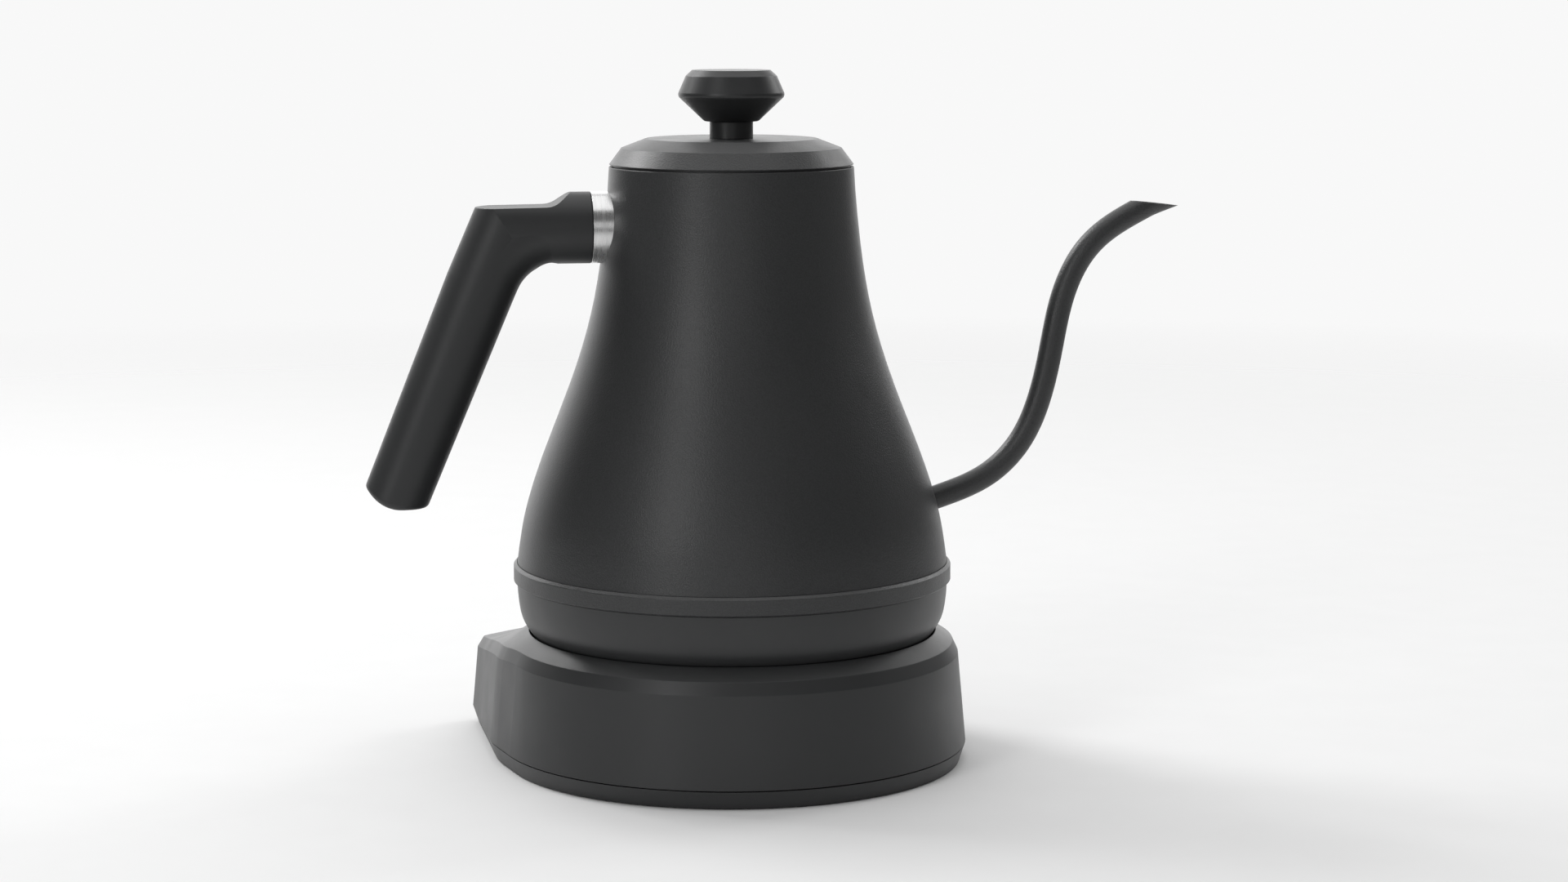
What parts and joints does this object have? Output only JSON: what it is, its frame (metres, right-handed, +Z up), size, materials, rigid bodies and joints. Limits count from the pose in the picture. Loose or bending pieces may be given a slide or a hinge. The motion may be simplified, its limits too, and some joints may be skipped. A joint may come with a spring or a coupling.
{
  "type": "gooseneck kettle",
  "caption": "Electric gooseneck kettle with a pistol grip and a slim curved spout, standing on a powered base with a sloping control panel.",
  "frame": {"origin": "kettle's axis at the surface that the base stands on", "axes": "+Z up along the kettle's axis, +X towards the spout, -X towards the handle"},
  "size_m": [0.2936, 0.1986, 0.2471],
  "materials": {
    "coat_black": "satin powder coat",
    "grip_black": "fine satin moulding",
    "shell_black": "fine grained moulding",
    "knob_black": "satin",
    "steel_brushed": "brushed",
    "steel_plain": "plain",
    "fastener_zinc": "bright zinc",
    "seal_silicone": "translucent dark silicone",
    "foot_rubber": "matt",
    "plate_aluminium": "as rolled",
    "contact_brass": "bright",
    "connector_black": "matt",
    "inner_grey": "matt",
    "panel_gloss": "glossy",
    "window_smoke": "smoked",
    "key_grey": "satin",
    "board_green": "lacquered",
    "part_dark": "matt"
  },
  "bodies": {
    "base": {"base_housing": "shell_black", "base_plate": "shell_black", "base_feet": "foot_rubber", "base_screws": "fastener_zinc", "base_connector": "connector_black", "connector_contacts": "contact_brass", "control_panel": "panel_gloss", "display_window": "window_smoke", "tact_switches": "part_dark", "control_board": "board_green", "board_screws": "fastener_zinc", "display_module": "part_dark", "power_board": "board_green", "board_standoffs": "inner_grey", "relay": "part_dark", "cord_gland": "foot_rubber"},
    "coupler": {"socket_housing": "connector_black", "socket_contacts": "contact_brass"},
    "kettle": {"kettle_body": "coat_black", "spout_tube": "coat_black", "handle_ferrule": "steel_brushed", "handle_grip": "grip_black", "handle_bracket": "steel_plain", "handle_bolt": "fastener_zinc", "collar_ring": "coat_black", "lower_shell": "shell_black", "heating_plate": "plate_aluminium", "heating_element": "steel_plain", "element_terminals": "contact_brass", "temperature_sensor": "steel_plain", "sensor_grommet": "seal_silicone", "shell_screws": "fastener_zinc"},
    "lid": {"lid_cap": "coat_black", "lid_plug": "inner_grey", "lid_clip": "steel_plain", "lid_seal": "seal_silicone", "knob_stem": "knob_black", "lid_knob": "knob_black", "knob_screw": "fastener_zinc"},
    "button_hold": {"button_hold": "key_grey"},
    "button_minus": {"button_minus": "key_grey"},
    "button_plus": {"button_plus": "key_grey"},
    "button_power": {"button_power": "key_grey"}
  },
  "joints": [
    {"name": "kettle_lift", "type": "slide", "parent": "base", "child": "coupler", "axis": [0, 0, 1], "range_m": [0, 0.08]},
    {"name": "kettle_swivel", "type": "hinge", "parent": "coupler", "child": "kettle", "pos_m": [0, 0, 0.051], "axis": [0, 0, 1], "continuous": true},
    {"name": "lid_lift", "type": "slide", "parent": "kettle", "child": "lid", "axis": [0, 0, 1], "range_m": [0, 0.05]},
    {"name": "button_hold_press", "type": "slide", "parent": "base", "child": "button_hold", "axis": [0.1502, -0.3537, -0.9232], "range_m": [0, 0.0006], "stiffness_N_per_m": 600},
    {"name": "button_minus_press", "type": "slide", "parent": "base", "child": "button_minus", "axis": [0.1502, -0.3537, -0.9232], "range_m": [0, 0.0006], "stiffness_N_per_m": 600},
    {"name": "button_plus_press", "type": "slide", "parent": "base", "child": "button_plus", "axis": [0.1502, -0.3537, -0.9232], "range_m": [0, 0.0006], "stiffness_N_per_m": 600},
    {"name": "button_power_press", "type": "slide", "parent": "base", "child": "button_power", "axis": [0.1502, -0.3537, -0.9232], "range_m": [0, 0.0006], "stiffness_N_per_m": 600}
  ]
}
